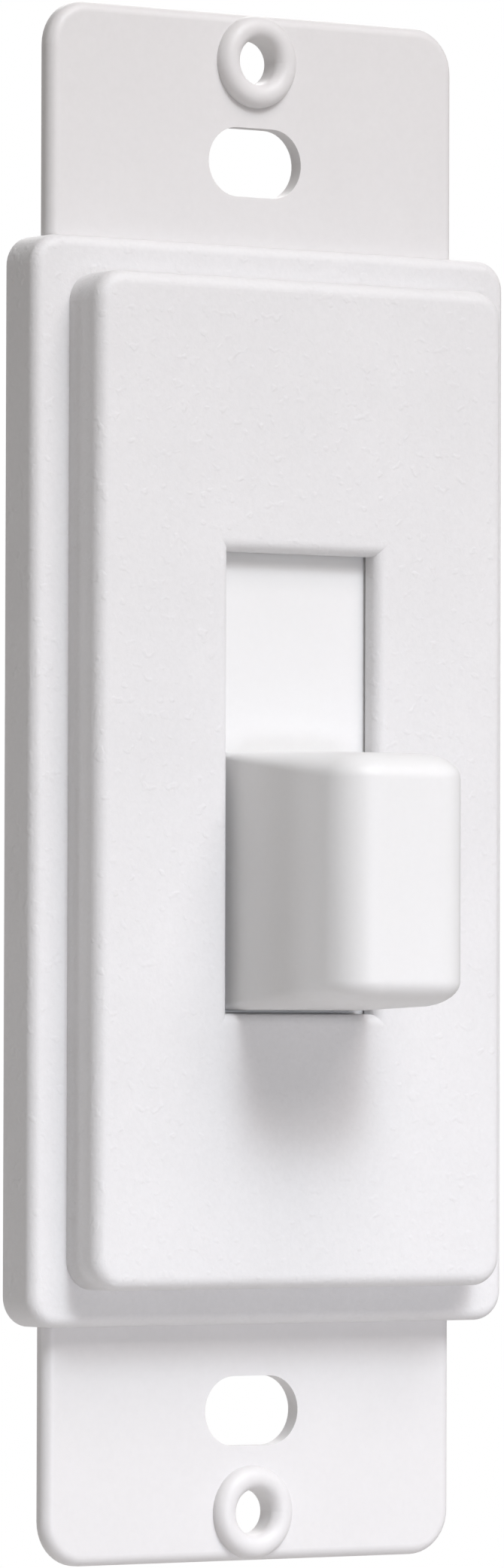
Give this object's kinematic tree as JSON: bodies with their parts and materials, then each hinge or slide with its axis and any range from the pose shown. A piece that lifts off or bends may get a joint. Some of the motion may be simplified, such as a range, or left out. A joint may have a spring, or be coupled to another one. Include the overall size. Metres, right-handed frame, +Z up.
{
  "type": "toggle wall switch",
  "caption": "White one-gang wall switch: a rounded rectangular face with a block knob that slides up in a slot, on a strap with screw ears.",
  "frame": {"origin": "midway between the two cover plate screw holes, on the back face of the strap", "axes": "+X to the right seen from the front, +Y into the wall, +Z up; the front faces -Y"},
  "size_m": [0.0382, 0.0319, 0.1032],
  "materials": {
    "frame_white": "fine matte texture",
    "strap_white": "satin",
    "knob_white": "satin",
    "guide_grey": "matte",
    "pad_black": "matte",
    "housing_grey": "matte",
    "lever_dark": "matte",
    "carriage_tan": "matte",
    "steel": "zinc plated",
    "spring_steel": "bright",
    "copper": "bright copper",
    "contact_silver": "bright silver",
    "brass": "bright"
  },
  "bodies": {
    "frame": {"face_frame": "frame_white", "mounting_strap": "strap_white", "guide_plate": "guide_grey", "stop_pad_lower": "pad_black", "stop_pad_upper": "pad_black", "rear_housing": "housing_grey", "housing_screw_1": "steel", "housing_screw_2": "steel", "housing_screw_3": "steel", "housing_screw_4": "steel", "pivot_pin": "steel", "detent_leaf_left": "spring_steel", "detent_leaf_right": "spring_steel", "fixed_contact_left": "contact_silver", "fixed_contact_right": "contact_silver", "line_terminal": "brass", "load_terminal": "brass", "line_screw": "brass", "load_screw": "brass", "line_clamp": "steel", "load_clamp": "steel"},
    "slider": {"toggle_knob": "knob_white", "shutter_plate": "knob_white"},
    "lever": {"toggle_lever": "lever_dark"},
    "carriage": {"contact_carriage": "carriage_tan", "bridge_bar": "copper", "bridge_spring": "spring_steel", "moving_contact_left": "contact_silver", "moving_contact_right": "contact_silver"}
  },
  "joints": [
    {"name": "knob_slide", "type": "slide", "parent": "frame", "child": "slider", "axis": [0, 0, 1], "range_m": [0, 0.013]},
    {"name": "lever_swing", "type": "hinge", "parent": "frame", "child": "lever", "pos_m": [0, 0.006, 0], "axis": [-1, 0, 0], "range_deg": [0, 48], "deforming": ["detent_leaf_left", "detent_leaf_right"]},
    {"name": "carriage_slide", "type": "slide", "parent": "frame", "child": "carriage", "axis": [0, 0, -1], "range_m": [0, 0.00293]}
  ],
  "couplings": [
    {"joint": "lever_swing", "follows": "knob_slide", "rad_per_m": 64.44},
    {"joint": "carriage_slide", "follows": "knob_slide", "ratio": 0.22526}
  ]
}
